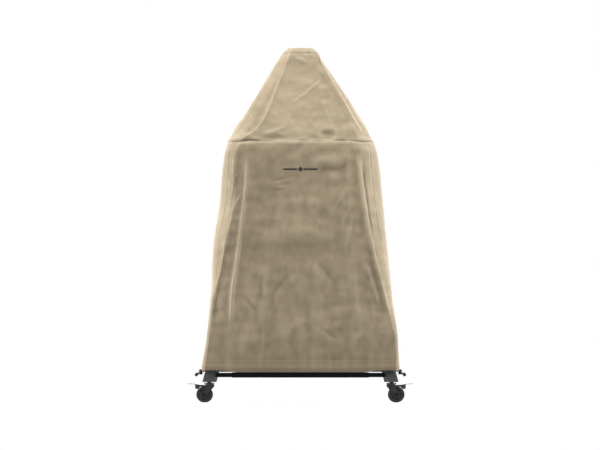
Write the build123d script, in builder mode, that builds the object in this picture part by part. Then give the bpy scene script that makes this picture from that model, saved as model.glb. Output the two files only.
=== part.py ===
"""Fabric cover on a wheeled oven stand, in millimetres.

The origin is on the floor under the middle of the stand, with +Z up and the front facing -Y.
"""

from build123d import *
from math import cos, radians, sin, tan
import os

os.makedirs("parts", exist_ok=True)

# ---------------------------------------------------------------- driving dimensions

# the cover: half width and half depth at each of its seams
cloth = 3.0
hem_low, hem_high, hem_fold = 142.0, 195.0, 4.0
hem_half_width, hem_half_depth, hem_corner = 459.0, 356.0, 32.0
brow_height, brow_half_width, brow_half_depth, brow_corner = 1130.0, 367.0, 322.0, 85.0
bulge_height, bulge_half_width, bulge_half_depth = 1188.0, 358.0, 317.0
shoulder_height, shoulder_half_width, shoulder_half_depth = 1228.0, 341.0, 302.0
shoulder_corner = 90.0
cap_seam_height, cap_half_width, cap_half_depth, cap_corner = 1633.0, 88.0, 82.0, 70.0
cover_top, top_half_width, top_half_depth, top_corner = 1666.0, 56.0, 52.0, 46.0

# the printed mark on the front of the cover
mark_height, mark_bar_length, mark_bar_width, mark_diamond, mark_gap = 1092.0, 66.0, 4.0, 13.0, 6.0
print_thickness = 0.4

# the drawcord in the hem, its two locks and its end beads
cord_diameter = 5.0
cord_inset, cord_height = 8.0, 146.5
lock_x, lock_radius, lock_floor, lock_height, lock_rounding = 469.5, 9.5, 131.5, 18.5, 1.5
lock_cord_height = 144.2
lock_hole_radius = 4.6
outlet_radius = 3.2
lock_wall_floor = 2.5
plunger_radius, plunger_travel, running_gap = 6.5, 2.5, 0.08
plunger_low, plunger_high = 138.5, 156.0
spring_radius, spring_wire, spring_turns = 4.6, 0.8, 2.0
bead_radius, bead_length, bead_overhang, bead_rounding = 7.5, 17.0, 3.4, 3.4
tail_bend = (481.0, 143.6)
tail_end = (491.3, 127.0)
longest_arc = 0.45

# the stand
foot_x, foot_y, foot_height = 428.0, 305.0, 96.0
head_x, head_y = 221.0, 195.0
leg_size, leg_wall, leg_corner, leg_turn = 50.0, 2.5, 4.0, 20.0
leg_spare, leg_length = 60.0, 950.0
foot_plate = 4.0
rail_size, rail_wall, rail_low = 20.0, 1.5, 119.0
shelf_half_width, shelf_sheet, shelf_lip_low = 321.0, 2.0, 117.0
deck_floor, deck_sheet, deck_half_width, deck_half_depth, deck_flange = 866.0, 3.0, 340.0, 300.0, 25.0
deck_corner = 40.0
bolt_x, bolt_shank, bolt_head, bolt_head_height, bolt_length, bolt_gap = 300.0, 2.5, 4.5, 3.0, 9.0, 0.2

# the oven that holds the cover up
base_half_width, base_half_depth, base_corner, base_height = 330.0, 290.0, 110.0, 30.0
stone_half_width, stone_half_depth, stone_corner, stone_height = 290.0, 250.0, 70.0, 15.0
oven_half_width, oven_half_depth, oven_corner, oven_crown = 340.0, 300.0, 120.0, 80.0
oven_top, oven_sheet = 1225.0, 3.0
mouth_half_width, mouth_height, mouth_corner = 190.0, 150.0, 60.0
flue_radius, flue_wall, flue_top, flue_fit = 45.0, 2.0, 1600.0, 0.1
cowl_radius, cowl_top, cowl_thickness, cowl_dome = 50.0, 1655.0, 8.0, 6.0
strap_width, strap_thickness, strap_low = 12.0, 3.0, 1570.0

# one caster: the wheel trails outwards from the swivel
wheel_radius, tyre_depth, wheel_width = 37.5, 7.5, 24.0
trail = 22.0
cheek_gap, cheek_sheet = 27.0, 3.0
axle_radius, axle_head, axle_head_height, bore_gap = 4.0, 7.0, 4.0, 0.05
race_radius, race_low, race_high = 22.0, 84.0, 92.0
stem_radius, stem_top, collar_radius, collar_top = 5.5, 112.0, 9.0, 95.6
pivot_x, pivot_z, pivot_radius, ear_radius = 38.0, 78.0, 2.5, 4.5
side_play = 0.5
cheek_head_x, cheek_head_z = -3.0, 79.0
cheek_head_length, cheek_head_height, cheek_head_corner = 38.0, 10.0, 4.0
cheek_foot_radius = 9.0
arm_root_x, arm_root_length, arm_width = 10.0, 20.0, 6.0
bridge_x, bridge_length, bridge_sheet, bridge_corner = -2.0, 36.0, 4.0, 3.0
fender_x, fender_length, fender_low, fender_sheet = 10.0, 44.0, 79.0, 2.0
race_rounding = 3.0
boss_radius, boss_flare, web_half = 9.0, 2.0, 4.0
rim_depth, rim_inset, rim_flare = 4.0, 2.0, 2.0
tread_rounding, tread_bevel, tread_land = 3.0, 1.0, 2.0

# the brake lever's outline, outwards from the swivel and up from the floor
pedal_reach, pedal_top, pedal_sheet, pedal_rounding = 101.0, 89.0, 2.5, 1.0
pedal_slope_end = (72.0, 88.0)
pedal_slope_start = (62.0, 85.5)
pedal_knuckle = (39.0, 82.2)
shoe_shoulder = (65.0, 83.0)
shoe_side = (65.0, 67.0)
shoe_toe = (59.0, 62.5)
shoe_heel = (52.0, 65.5)
shoe_throat = (46.0, 72.0)

sides = {"left": -1, "right": 1}
ends = {"front": -1, "back": 1}


def write(piece, name):
    """Label one finished piece and write it to its own file."""
    piece.label = name
    export_step(piece, "parts/" + name + ".step")


# ---------------------------------------------------------------- the cover


class Ring:
    """One level section of the cover: a rounded rectangle at a height."""

    def __init__(self, height, half_width, half_depth, corner):
        self.height = height
        self.half_width = half_width
        self.half_depth = half_depth
        self.corner = corner

    def face(self, inset=0.0):
        """The section as a face, moved inwards by the inset."""
        with BuildSketch(Plane.XY.offset(self.height)) as section:
            RectangleRounded(
                2 * (self.half_width - inset),
                2 * (self.half_depth - inset),
                self.corner - inset,
            )
        return section.sketch

    def corner_point(self, side, end):
        """The middle of the rounded corner on the given side and end."""
        pulled_in = self.corner * (1 - cos(radians(45)))
        return Vector(
            side * (self.half_width - pulled_in),
            end * (self.half_depth - pulled_in),
            self.height,
        )


def between(low, high, height):
    """The section at a height on the straight wall from one ring to another."""
    share = (height - low.height) / (high.height - low.height)
    return Ring(
        height,
        low.half_width + share * (high.half_width - low.half_width),
        low.half_depth + share * (high.half_depth - low.half_depth),
        low.corner + share * (high.corner - low.corner),
    )


hem_ring = Ring(hem_low, hem_half_width, hem_half_depth, hem_corner)
brow_ring = Ring(brow_height, brow_half_width, brow_half_depth, brow_corner)
stitch_ring = between(hem_ring, brow_ring, hem_high)
bulge_ring = Ring(bulge_height, bulge_half_width, bulge_half_depth, brow_corner)
shoulder_ring = Ring(shoulder_height, shoulder_half_width, shoulder_half_depth, shoulder_corner)
cap_ring = Ring(cap_seam_height, cap_half_width, cap_half_depth, cap_corner)
top_ring = Ring(cover_top, top_half_width, top_half_depth, top_corner)


def cloth_wall(rings, thickness=cloth):
    """A closed band of cloth through the rings, open at its top and bottom."""
    with BuildPart() as wall:
        loft([ring.face() for ring in rings], ruled=True)
        loft([ring.face(thickness) for ring in rings], ruled=True, mode=Mode.SUBTRACT)
    return wall.part


def corner_cut(low, high, side, end):
    """The plane along one corner of a band, facing its front or its back."""
    foot = low.corner_point(side, end)
    climb = high.corner_point(side, end) - foot
    normal = climb.cross(Vector(side, end, 0))
    if normal.Y * end < 0:
        normal = normal * -1
    return Plane(origin=foot, z_dir=normal)


def sew_panels(name, rings):
    """Cut a band of cloth along its four corners and write the four panels."""
    low, high = rings[0], rings[-1]
    for end_name, end in ends.items():
        with BuildPart() as panel:
            add(cloth_wall(rings))
            for side in sides.values():
                split(bisect_by=corner_cut(low, high, side, end), keep=Keep.TOP)
        write(panel.part, name + "_" + end_name)
    for side_name, side in sides.items():
        with BuildPart() as panel:
            add(cloth_wall(rings))
            for end in ends.values():
                split(bisect_by=corner_cut(low, high, side, end), keep=Keep.BOTTOM)
        write(panel.part, name + "_" + side_name)


sew_panels("skirt", [stitch_ring, brow_ring, bulge_ring, shoulder_ring])
sew_panels("hood", [shoulder_ring, cap_ring])

# the hem is folded double, with an outlet for the drawcord in the middle of each side
with BuildPart() as hem_band:
    add(cloth_wall([hem_ring, stitch_ring], thickness=hem_fold))
    with BuildSketch(Plane.YZ.offset(-hem_half_width)):
        with Locations((0, cord_height)):
            Circle(outlet_radius)
    extrude(amount=2 * hem_half_width, mode=Mode.SUBTRACT)
write(hem_band.part, "hem_band")

write(cloth_wall([cap_ring, top_ring]), "cap_band")

with BuildPart() as cap_top:
    loft([cap_ring.face(cloth), top_ring.face(cloth)], ruled=True)
    split(bisect_by=Plane.XY.offset(cover_top - cloth), keep=Keep.TOP)
write(cap_top.part, "cap_top")

# the mark is printed flat on the front panel, which leans back a little
mark_ring = between(hem_ring, brow_ring, mark_height)
front_lean = (hem_half_depth - brow_half_depth) / (brow_height - hem_low)
mark_plane = Plane(
    origin=(0, -mark_ring.half_depth, mark_height),
    x_dir=(1, 0, 0),
    z_dir=(0, -1, front_lean),
)
with BuildPart() as front_mark:
    with BuildSketch(mark_plane):
        Rectangle(mark_diamond, mark_diamond, rotation=45)
        bar_middle = mark_diamond * sin(radians(45)) + mark_gap + mark_bar_length / 2
        with Locations((-bar_middle, 0), (bar_middle, 0)):
            Rectangle(mark_bar_length, mark_bar_width)
    extrude(amount=print_thickness)
write(front_mark.part, "front_mark")

# ---------------------------------------------------------------- the drawcord

cord_radius = cord_diameter / 2
loop_half_width = hem_half_width - cord_inset
loop_half_depth = hem_half_depth - cord_inset
loop_corner = hem_corner - cord_inset

loop_ring = Ring(cord_height, loop_half_width, loop_half_depth, loop_corner)

with BuildPart() as drawcord_loop:
    with BuildSketch(Plane(origin=(0, -loop_half_depth, cord_height), z_dir=(1, 0, 0))):
        Circle(cord_radius)
    sweep(path=loop_ring.face().wire())
write(drawcord_loop.part, "drawcord_loop")


def tail_route(side):
    """The points of one cord tail: out of the hem, through its lock and down to its bead."""
    return [
        (side * (loop_half_width + cord_radius), 0, cord_height),
        (side * tail_bend[0], 0, tail_bend[1]),
        (side * tail_end[0], 0, tail_end[1]),
    ]


def corner_radius(route):
    """The largest arc that the middle point of a three-point route has room for."""
    start, corner, finish = [Vector(*point) for point in route]
    run_in = corner - start
    run_out = finish - corner
    turn = run_in.get_angle(run_out)
    return longest_arc * min(run_in.length, run_out.length) / tan(radians(turn / 2))


for side_name, side in sides.items():
    route = tail_route(side)
    bend = corner_radius(route)
    with BuildPart() as tail:
        with BuildLine() as tail_path:
            FilletPolyline(*route, radius=[bend])
        with BuildSketch(Plane(origin=tail_path.line @ 0, z_dir=tail_path.line % 0)):
            Circle(cord_radius)
        sweep()
    tail_length = tail_path.wire().length
    print("cord tail", side_name, "length", round(tail_length, 1), "bend radius", round(bend, 1))
    write(tail.part, "drawcord_tail_" + side_name)

    # the bead is a barrel around the end of the cord, along the cord's last run
    finish = Vector(*route[-1])
    run_out = (finish - Vector(*route[-2])).normalized()
    bead_plane = Plane(origin=finish + run_out * bead_overhang, z_dir=run_out * -1)
    with BuildPart() as bead:
        with BuildSketch(bead_plane):
            Circle(bead_radius)
        extrude(amount=bead_length)
        fillet(bead.edges(), radius=bead_rounding)
    write(bead.part, "cord_end_" + side_name)

    cross = Plane(
        origin=(side * lock_x, 0, lock_cord_height),
        x_dir=(0, side, 0),
        z_dir=(side, 0, 0),
    )
    with BuildPart() as barrel:
        with BuildSketch(Plane(origin=(side * lock_x, 0, lock_floor))):
            Circle(lock_radius)
        extrude(amount=lock_height)
        fillet(barrel.edges(), radius=lock_rounding)
        with BuildSketch(Plane(origin=(side * lock_x, 0, lock_floor + lock_wall_floor))):
            Circle(plunger_radius + running_gap)
        extrude(amount=lock_height, mode=Mode.SUBTRACT)
        with BuildSketch(cross):
            Circle(lock_hole_radius)
        extrude(amount=2 * lock_radius, both=True, mode=Mode.SUBTRACT)
    write(barrel.part, "lock_barrel_" + side_name)

    # the plunger's slot is longer than the cord is thick by the plunger's travel
    with BuildPart() as plunger:
        with BuildSketch(Plane(origin=(side * lock_x, 0, plunger_low))):
            Circle(plunger_radius)
        extrude(amount=plunger_high - plunger_low)
        fillet(plunger.edges().group_by(Axis.Z)[-1], radius=lock_rounding)
        with BuildSketch(cross):
            with Locations((0, plunger_travel / 2)):
                SlotCenterToCenter(plunger_travel, 2 * lock_hole_radius, rotation=90)
        extrude(amount=2 * lock_radius, both=True, mode=Mode.SUBTRACT)
    write(plunger.part, "lock_plunger_" + side_name)

    spring_low = lock_floor + lock_wall_floor + spring_wire / 2
    spring_high = plunger_low - spring_wire / 2
    spring_height = spring_high - spring_low
    with BuildPart() as spring:
        with BuildLine() as coil:
            Helix(
                pitch=spring_height / spring_turns,
                height=spring_height,
                radius=spring_radius,
                center=(side * lock_x, 0, spring_low),
            )
        with BuildSketch(Plane(origin=coil.line @ 0, z_dir=coil.line % 0)):
            Circle(spring_wire / 2)
        sweep()
    write(spring.part, "lock_spring_" + side_name)

# ---------------------------------------------------------------- the stand


def leg_plane(side, end):
    """A plane square to one leg at its foot, turned as the leg's tube is turned."""
    lean = Vector(side * (head_x - foot_x), end * (head_y - foot_y), deck_floor - foot_height).normalized()
    face = Vector(side * sin(radians(leg_turn)), end * cos(radians(leg_turn)), 0)
    across = (face - lean * face.dot(lean)).normalized()
    return Plane(origin=(side * foot_x, end * foot_y, foot_height), x_dir=across, z_dir=lean)


def leg_bar(side, end):
    """The outside of one leg as a full bar, longer than the leg at both ends."""
    with BuildPart() as bar:
        with BuildSketch(leg_plane(side, end).offset(-leg_spare)):
            RectangleRounded(leg_size, leg_size, leg_corner)
        extrude(amount=leg_length)
    return bar.part


for end_name, end in ends.items():
    for side_name, side in sides.items():
        with BuildPart() as leg:
            add(leg_bar(side, end))
            bore = leg_size - 2 * leg_wall
            with BuildSketch(leg_plane(side, end).offset(-leg_spare)):
                RectangleRounded(bore, bore, leg_corner - leg_wall)
            extrude(amount=leg_length, mode=Mode.SUBTRACT)
            split(bisect_by=Plane.XY.offset(foot_height + foot_plate), keep=Keep.TOP)
            split(bisect_by=Plane.XY.offset(deck_floor), keep=Keep.BOTTOM)
        write(leg.part, "leg_" + end_name + "_" + side_name)

with BuildPart() as foot_plates:
    for end in ends.values():
        for side in sides.values():
            add(leg_bar(side, end))
    split(bisect_by=Plane.XY.offset(foot_height), keep=Keep.TOP)
    split(bisect_by=Plane.XY.offset(foot_height + foot_plate), keep=Keep.BOTTOM)
    with BuildSketch(Plane.XY.offset(foot_height)):
        with GridLocations(2 * foot_x, 2 * foot_y, 2, 2):
            Circle(stem_radius + bore_gap)
    extrude(amount=foot_plate, mode=Mode.SUBTRACT)
write(foot_plates.part, "foot_plates")

# the rails meet the legs where the legs pass the rails' middle height
rail_middle = rail_low + rail_size / 2
rail_share = (rail_middle - foot_height) / (deck_floor - foot_height)
rail_x = foot_x + rail_share * (head_x - foot_x)
rail_y = foot_y + rail_share * (head_y - foot_y)
rail_bore = rail_size - 2 * rail_wall

for end_name, end in ends.items():
    with BuildPart() as rail:
        with BuildSketch(Plane(origin=(-rail_x, end * rail_y, rail_middle), z_dir=(1, 0, 0))):
            Rectangle(rail_size, rail_size)
            Rectangle(rail_bore, rail_bore, mode=Mode.SUBTRACT)
        extrude(amount=2 * rail_x)
        for side in sides.values():
            add(leg_bar(side, end), mode=Mode.SUBTRACT)
        with BuildSketch(Plane(origin=(0, end * rail_y, rail_middle), x_dir=(1, 0, 0), z_dir=(0, end, 0))):
            with Locations((-bolt_x, 0), (bolt_x, 0)):
                Circle(bolt_shank + bolt_gap)
        extrude(amount=rail_size, mode=Mode.SUBTRACT)
    write(rail.part, "lower_rail_" + end_name)

for side_name, side in sides.items():
    with BuildPart() as rail:
        with BuildSketch(Plane(origin=(side * rail_x, -rail_y, rail_middle), z_dir=(0, 1, 0))):
            Rectangle(rail_size, rail_size)
            Rectangle(rail_bore, rail_bore, mode=Mode.SUBTRACT)
        extrude(amount=2 * rail_y)
        for end in ends.values():
            add(leg_bar(side, end), mode=Mode.SUBTRACT)
    write(rail.part, "lower_rail_" + side_name)

# the shelf lies on the front and back rails, and its lips hang over their outer faces
rail_top = rail_low + rail_size
lip_inside = rail_y + rail_size / 2
with BuildPart() as shelf:
    with BuildSketch(Plane.YZ.offset(-shelf_half_width)):
        with BuildLine():
            Polyline(
                (-lip_inside - shelf_sheet, shelf_lip_low),
                (-lip_inside - shelf_sheet, rail_top + shelf_sheet),
                (lip_inside + shelf_sheet, rail_top + shelf_sheet),
                (lip_inside + shelf_sheet, shelf_lip_low),
                (lip_inside, shelf_lip_low),
                (lip_inside, rail_top),
                (-lip_inside, rail_top),
                (-lip_inside, shelf_lip_low),
                close=True,
            )
        make_face()
    extrude(amount=2 * shelf_half_width)
    with BuildSketch(Plane.XZ.offset(-lip_inside - shelf_sheet)):
        with Locations((-bolt_x, rail_middle), (bolt_x, rail_middle)):
            Circle(bolt_shank + bolt_gap)
    extrude(amount=2 * (lip_inside + shelf_sheet), mode=Mode.SUBTRACT)
write(shelf.part, "lower_shelf")

with BuildPart() as shelf_bolts:
    for end in ends.values():
        lip_face = Plane(
            origin=(0, end * (lip_inside + shelf_sheet), rail_middle),
            x_dir=(1, 0, 0),
            z_dir=(0, end, 0),
        )
        with BuildSketch(lip_face):
            with Locations((-bolt_x, 0), (bolt_x, 0)):
                Circle(bolt_head)
        extrude(amount=bolt_head_height)
        with BuildSketch(lip_face):
            with Locations((-bolt_x, 0), (bolt_x, 0)):
                Circle(bolt_shank)
        extrude(amount=-bolt_length)
write(shelf_bolts.part, "shelf_bolts")

with BuildPart() as deck:
    with BuildSketch(Plane.XY.offset(deck_floor - deck_flange)):
        RectangleRounded(2 * deck_half_width, 2 * deck_half_depth, deck_corner)
    extrude(amount=deck_flange + deck_sheet)
    with BuildSketch(Plane.XY.offset(deck_floor - deck_flange)):
        RectangleRounded(
            2 * (deck_half_width - deck_sheet),
            2 * (deck_half_depth - deck_sheet),
            deck_corner - deck_sheet,
        )
    extrude(amount=deck_flange, mode=Mode.SUBTRACT)
write(deck.part, "deck")

# ---------------------------------------------------------------- the oven

base_low = deck_floor + deck_sheet
oven_low = base_low + base_height
stone_top = oven_low + stone_height

with BuildPart() as oven_base:
    with BuildSketch(Plane.XY.offset(base_low)):
        RectangleRounded(2 * base_half_width, 2 * base_half_depth, base_corner)
    extrude(amount=base_height)
    with BuildSketch(Plane.XY.offset(base_low)):
        RectangleRounded(
            2 * (base_half_width - oven_sheet),
            2 * (base_half_depth - oven_sheet),
            base_corner - oven_sheet,
        )
    extrude(amount=base_height - oven_sheet, mode=Mode.SUBTRACT)
write(oven_base.part, "oven_base")

with BuildPart() as stone_floor:
    with BuildSketch(Plane.XY.offset(oven_low)):
        RectangleRounded(2 * stone_half_width, 2 * stone_half_depth, stone_corner)
    extrude(amount=stone_height)
write(stone_floor.part, "stone_floor")


def crowned_box(inset):
    """The oven's body, moved inwards by the inset, with its roof edge rounded over."""
    with BuildPart() as box:
        with BuildSketch(Plane.XY.offset(oven_low)):
            RectangleRounded(
                2 * (oven_half_width - inset),
                2 * (oven_half_depth - inset),
                oven_corner - inset,
            )
        extrude(amount=oven_top - oven_low - inset)
        fillet(box.edges().group_by(Axis.Z)[-1], radius=oven_crown - inset)
    return box.part


with BuildPart() as oven_shell:
    add(crowned_box(0))
    add(crowned_box(oven_sheet), mode=Mode.SUBTRACT)
    with BuildSketch(Plane.XZ.offset(oven_half_depth)):
        with Locations((0, stone_top)):
            RectangleRounded(2 * mouth_half_width, 2 * mouth_height, mouth_corner)
        with Locations((0, stone_top - mouth_height / 2)):
            Rectangle(2 * mouth_half_width, mouth_height, mode=Mode.SUBTRACT)
    extrude(amount=-oven_half_depth / 2, mode=Mode.SUBTRACT)
    with BuildSketch(Plane.XY.offset(oven_top - 2 * oven_sheet)):
        Circle(flue_radius + flue_fit)
    extrude(amount=3 * oven_sheet, mode=Mode.SUBTRACT)
write(oven_shell.part, "oven_shell")

with BuildPart() as flue_pipe:
    with BuildSketch(Plane.XY.offset(oven_top - oven_sheet)):
        Circle(flue_radius)
        Circle(flue_radius - flue_wall, mode=Mode.SUBTRACT)
    extrude(amount=flue_top - oven_top + oven_sheet)
write(flue_pipe.part, "flue_pipe")

# the cowl is a low dome on four straps that hug the pipe
with BuildPart() as flue_cowl:
    with BuildSketch(Plane.XY.offset(cowl_top - cowl_thickness)):
        Circle(cowl_radius)
    extrude(amount=cowl_thickness)
    fillet(flue_cowl.edges().group_by(Axis.Z)[-1], radius=cowl_dome)
    with BuildSketch(Plane.XY.offset(strap_low)):
        with PolarLocations(flue_radius + flue_fit + strap_thickness / 2, 4):
            Rectangle(strap_thickness, strap_width)
        Circle(flue_radius + flue_fit, mode=Mode.SUBTRACT)
    extrude(amount=cowl_top - cowl_thickness - strap_low)
write(flue_cowl.part, "flue_cowl")

# ---------------------------------------------------------------- the casters


def make_caster(place, side, end):
    """Write the five pieces of one caster, whose wheel trails outwards."""
    centre = (side * foot_x, end * foot_y, 0)
    profile = Plane(origin=centre, x_dir=(side, 0, 0), z_dir=(0, -side, 0))
    wheel_centre = (trail, wheel_radius)

    with BuildPart() as fork:
        # two cheeks, each a tapered plate with an arm out to the brake's pivot
        for face in (cheek_gap / 2, -cheek_gap / 2 - cheek_sheet):
            with BuildSketch(profile.offset(face)):
                with Locations((cheek_head_x, cheek_head_z)):
                    RectangleRounded(cheek_head_length, cheek_head_height, cheek_head_corner)
                with Locations(wheel_centre):
                    Circle(cheek_foot_radius)
                make_hull()
            extrude(amount=cheek_sheet)
            with BuildSketch(profile.offset(face)):
                with Locations((arm_root_x, pivot_z)):
                    Rectangle(arm_root_length, arm_width)
                with Locations((pivot_x, pivot_z)):
                    Circle(ear_radius)
                make_hull()
            extrude(amount=cheek_sheet)
        # the bridge between the cheeks, the fender over the wheel, the race and the stem
        with BuildSketch(Plane.XY.offset(race_low - bridge_sheet)):
            with Locations((side * (foot_x + bridge_x), end * foot_y)):
                RectangleRounded(bridge_length, cheek_gap + 2 * cheek_sheet, bridge_corner)
        extrude(amount=bridge_sheet)
        with BuildSketch(Plane.XY.offset(fender_low)):
            with Locations((side * (foot_x + fender_x), end * foot_y)):
                Rectangle(fender_length, cheek_gap + cheek_sheet)
        extrude(amount=fender_sheet)
        with BuildSketch(Plane.XY.offset(race_low)):
            with Locations((side * foot_x, end * foot_y)):
                Circle(race_radius)
        extrude(amount=race_high - race_low)
        fillet(fork.edges().group_by(Axis.Z)[-1], radius=race_rounding)
        with BuildSketch(Plane.XY.offset(race_high)):
            with Locations((side * foot_x, end * foot_y)):
                Circle(collar_radius)
        extrude(amount=collar_top - race_high)
        with BuildSketch(Plane.XY.offset(collar_top)):
            with Locations((side * foot_x, end * foot_y)):
                Circle(stem_radius)
        extrude(amount=stem_top - collar_top)
        with BuildSketch(profile):
            with Locations(wheel_centre):
                Circle(axle_radius + bore_gap)
            with Locations((pivot_x, pivot_z)):
                Circle(pivot_radius + bore_gap)
        extrude(amount=cheek_gap, both=True, mode=Mode.SUBTRACT)
    write(fork.part, "caster_fork_" + place)

    outer_face = cheek_gap / 2 + cheek_sheet
    with BuildPart() as axle:
        with BuildSketch(profile):
            with Locations(wheel_centre):
                Circle(axle_radius)
        extrude(amount=outer_face, both=True)
        for face in (outer_face, -outer_face - axle_head_height):
            with BuildSketch(profile.offset(face)):
                with Locations(wheel_centre):
                    RegularPolygon(axle_head, 6)
            extrude(amount=axle_head_height)
    write(axle.part, "caster_axle_" + place)

    hub_radius = wheel_radius - tyre_depth
    hub_plane = Plane(
        origin=(side * (foot_x + trail), end * foot_y, wheel_radius),
        x_dir=(1, 0, 0),
        z_dir=(0, 0, 1),
    )
    across = Axis(hub_plane.origin, (0, 1, 0))
    boss_half = cheek_gap / 2 - side_play
    rim_half = wheel_width / 2 - rim_inset
    rim_radius = hub_radius - rim_depth
    with BuildPart() as hub:
        with BuildSketch(hub_plane):
            with BuildLine():
                Polyline(
                    (axle_radius + bore_gap, -boss_half),
                    (boss_radius, -boss_half),
                    (boss_radius + boss_flare, -web_half),
                    (rim_radius - rim_flare, -web_half),
                    (rim_radius, -rim_half),
                    (hub_radius, -rim_half),
                    (hub_radius, rim_half),
                    (rim_radius, rim_half),
                    (rim_radius - rim_flare, web_half),
                    (boss_radius + boss_flare, web_half),
                    (boss_radius, boss_half),
                    (axle_radius + bore_gap, boss_half),
                    close=True,
                )
            make_face()
        revolve(axis=across)
    write(hub.part, "wheel_hub_" + place)

    tread_half = wheel_width / 2
    tread_edge = wheel_radius - tread_rounding
    with BuildPart() as tyre:
        with BuildSketch(hub_plane):
            with BuildLine():
                Polyline(
                    (hub_radius + bore_gap, tread_half - tread_bevel),
                    (hub_radius + bore_gap, -tread_half + tread_bevel),
                    (hub_radius + tread_land, -tread_half),
                    (tread_edge, -tread_half),
                )
                RadiusArc(
                    (tread_edge, -tread_half),
                    (wheel_radius, -tread_half + tread_rounding),
                    -tread_rounding,
                )
                Line(
                    (wheel_radius, -tread_half + tread_rounding),
                    (wheel_radius, tread_half - tread_rounding),
                )
                RadiusArc(
                    (wheel_radius, tread_half - tread_rounding),
                    (tread_edge, tread_half),
                    -tread_rounding,
                )
                Polyline(
                    (tread_edge, tread_half),
                    (hub_radius + tread_land, tread_half),
                    (hub_radius + bore_gap, tread_half - tread_bevel),
                )
            make_face()
        revolve(axis=across)
    write(tyre.part, "tyre_" + place)

    # the lever: a pin in the ears, a thin tread plate and a brake shoe under it
    lever_half = cheek_gap / 2 - side_play
    with BuildPart() as pedal:
        with BuildSketch(profile):
            with Locations((pivot_x, pivot_z)):
                Circle(pivot_radius)
        extrude(amount=outer_face, both=True)
        with BuildSketch(profile):
            with Locations((pivot_x, pivot_z)):
                Circle(ear_radius)
            with BuildLine():
                Polyline(
                    (pivot_x, pivot_z),
                    pedal_knuckle,
                    pedal_slope_start,
                    pedal_slope_end,
                    (pedal_reach, pedal_top),
                    (pedal_reach, pedal_top - pedal_sheet),
                    (pedal_slope_end[0] + 1, pedal_slope_end[1] - pedal_sheet),
                    shoe_shoulder,
                    shoe_side,
                    shoe_toe,
                    shoe_heel,
                    shoe_throat,
                    close=True,
                )
            make_face()
        extrude(amount=lever_half, both=True)
        outermost = 0 if side < 0 else -1
        fillet(pedal.edges().filter_by(Axis.Z).group_by(Axis.X)[outermost], radius=pedal_rounding)
    write(pedal.part, "brake_pedal_" + place)


for end_name, end in ends.items():
    for side_name, side in sides.items():
        make_caster(end_name + "_" + side_name, side, end)
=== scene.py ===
"""The looks of the fabric cover and its wheeled stand, in metres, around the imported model.

The front faces -Y. The cover is four pieces of cloth: skirt, hood, cap and hem. Each is a grid
of points round a rounded outline, moved in and out by folds that are drawn one by one.
"""

from itertools import product
from math import cos, pi, radians, sin

import bmesh
import bpy
import numpy as np
from mathutils import Matrix, Vector
from mathutils.bvhtree import BVHTree


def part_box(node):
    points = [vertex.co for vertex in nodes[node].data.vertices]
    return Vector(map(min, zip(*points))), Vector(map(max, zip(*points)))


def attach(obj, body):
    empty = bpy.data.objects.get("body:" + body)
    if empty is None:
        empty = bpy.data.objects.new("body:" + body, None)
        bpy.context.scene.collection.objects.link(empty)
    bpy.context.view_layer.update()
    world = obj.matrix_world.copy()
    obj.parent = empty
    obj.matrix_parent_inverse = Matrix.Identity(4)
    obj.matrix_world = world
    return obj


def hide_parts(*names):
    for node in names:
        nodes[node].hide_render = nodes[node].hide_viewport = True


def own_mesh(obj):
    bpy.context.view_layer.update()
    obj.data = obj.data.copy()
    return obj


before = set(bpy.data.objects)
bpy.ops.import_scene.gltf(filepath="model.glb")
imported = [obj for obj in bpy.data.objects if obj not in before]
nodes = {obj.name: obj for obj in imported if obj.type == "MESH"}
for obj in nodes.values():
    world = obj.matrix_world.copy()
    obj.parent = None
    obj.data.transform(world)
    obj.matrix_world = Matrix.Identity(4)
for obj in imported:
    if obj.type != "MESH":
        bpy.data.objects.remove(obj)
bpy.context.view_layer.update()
scene = bpy.context.scene
scene.view_settings.view_transform = "Standard"

SIDES = {"left": -1, "right": 1}
ENDS = {"front": -1, "back": 1}
CORNERS = [end + "_" + side for end in ENDS for side in SIDES]


def link(name, data):
    """A new object in the scene, holding the data."""
    made = bpy.data.objects.new(name, data)
    scene.collection.objects.link(made)
    return made


def smooth_mesh(name, places, faces, material):
    """A new object in the scene with a smooth-shaded mesh."""
    mesh = bpy.data.meshes.new(name)
    mesh.from_pydata(places, [], faces)
    mesh.polygons.foreach_set("use_smooth", [True] * len(mesh.polygons))
    mesh.materials.append(material)
    return link(name, mesh)


def finished_grid(name, grid, material):
    """A new object in the scene with a bmesh's faces."""
    mesh = bpy.data.meshes.new(name)
    grid.to_mesh(mesh)
    grid.free()
    mesh.materials.append(material)
    return link(name, mesh)


# ---------------- camera

# a long lens from far away, just above the floor and tilted up a little
VIEW_WIDTH = 2.82
LENS, SENSOR = 1000.0, 36.0
camera_distance = VIEW_WIDTH * LENS / SENSOR
camera_height = 0.02
aim = Vector((-0.002, 0.0, 0.834))

camera_data = bpy.data.cameras.new("camera")
camera_data.lens = LENS
camera_data.sensor_width = SENSOR
camera_data.clip_end = 200
camera = link("camera", camera_data)
camera.location = (aim.x, -camera_distance, camera_height)
camera.rotation_euler = (aim - camera.location).to_track_quat("-Z", "Y").to_euler()
scene.camera = camera

# ---------------- material tools


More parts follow.
